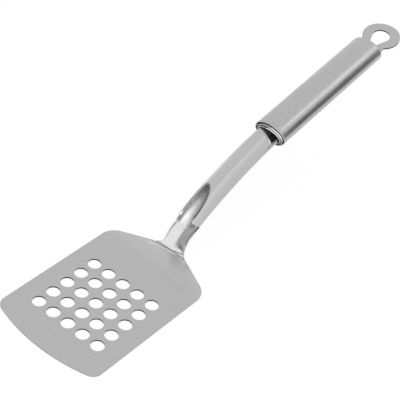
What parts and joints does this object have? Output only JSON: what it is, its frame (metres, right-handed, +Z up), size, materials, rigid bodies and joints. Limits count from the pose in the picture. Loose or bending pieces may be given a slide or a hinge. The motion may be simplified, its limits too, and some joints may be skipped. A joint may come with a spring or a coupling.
{
  "type": "spatula",
  "caption": "Perforated stainless turner with a flat punched blade, a rolled sheet shank that opens into a gutter, and a hollow oval handle ending in a flat hanging loop.",
  "frame": {"origin": "under the middle of the whole length, on the plane of the blade's underside", "axes": "+X along the blade towards its front edge, +Z up out of the blade's top, Y across the blade"},
  "size_m": [0.3538, 0.08, 0.0801],
  "materials": {
    "satin_steel": "satin, even fine grain",
    "polished_steel": "polished",
    "brushed_steel": "fine brushed along the handle"
  },
  "bodies": {
    "root": {"blade": "satin_steel", "shank": "polished_steel", "front_cap": "polished_steel", "handle_tube": "brushed_steel", "rear_plate": "brushed_steel", "hanging_loop": "satin_steel"}
  },
  "joints": []
}
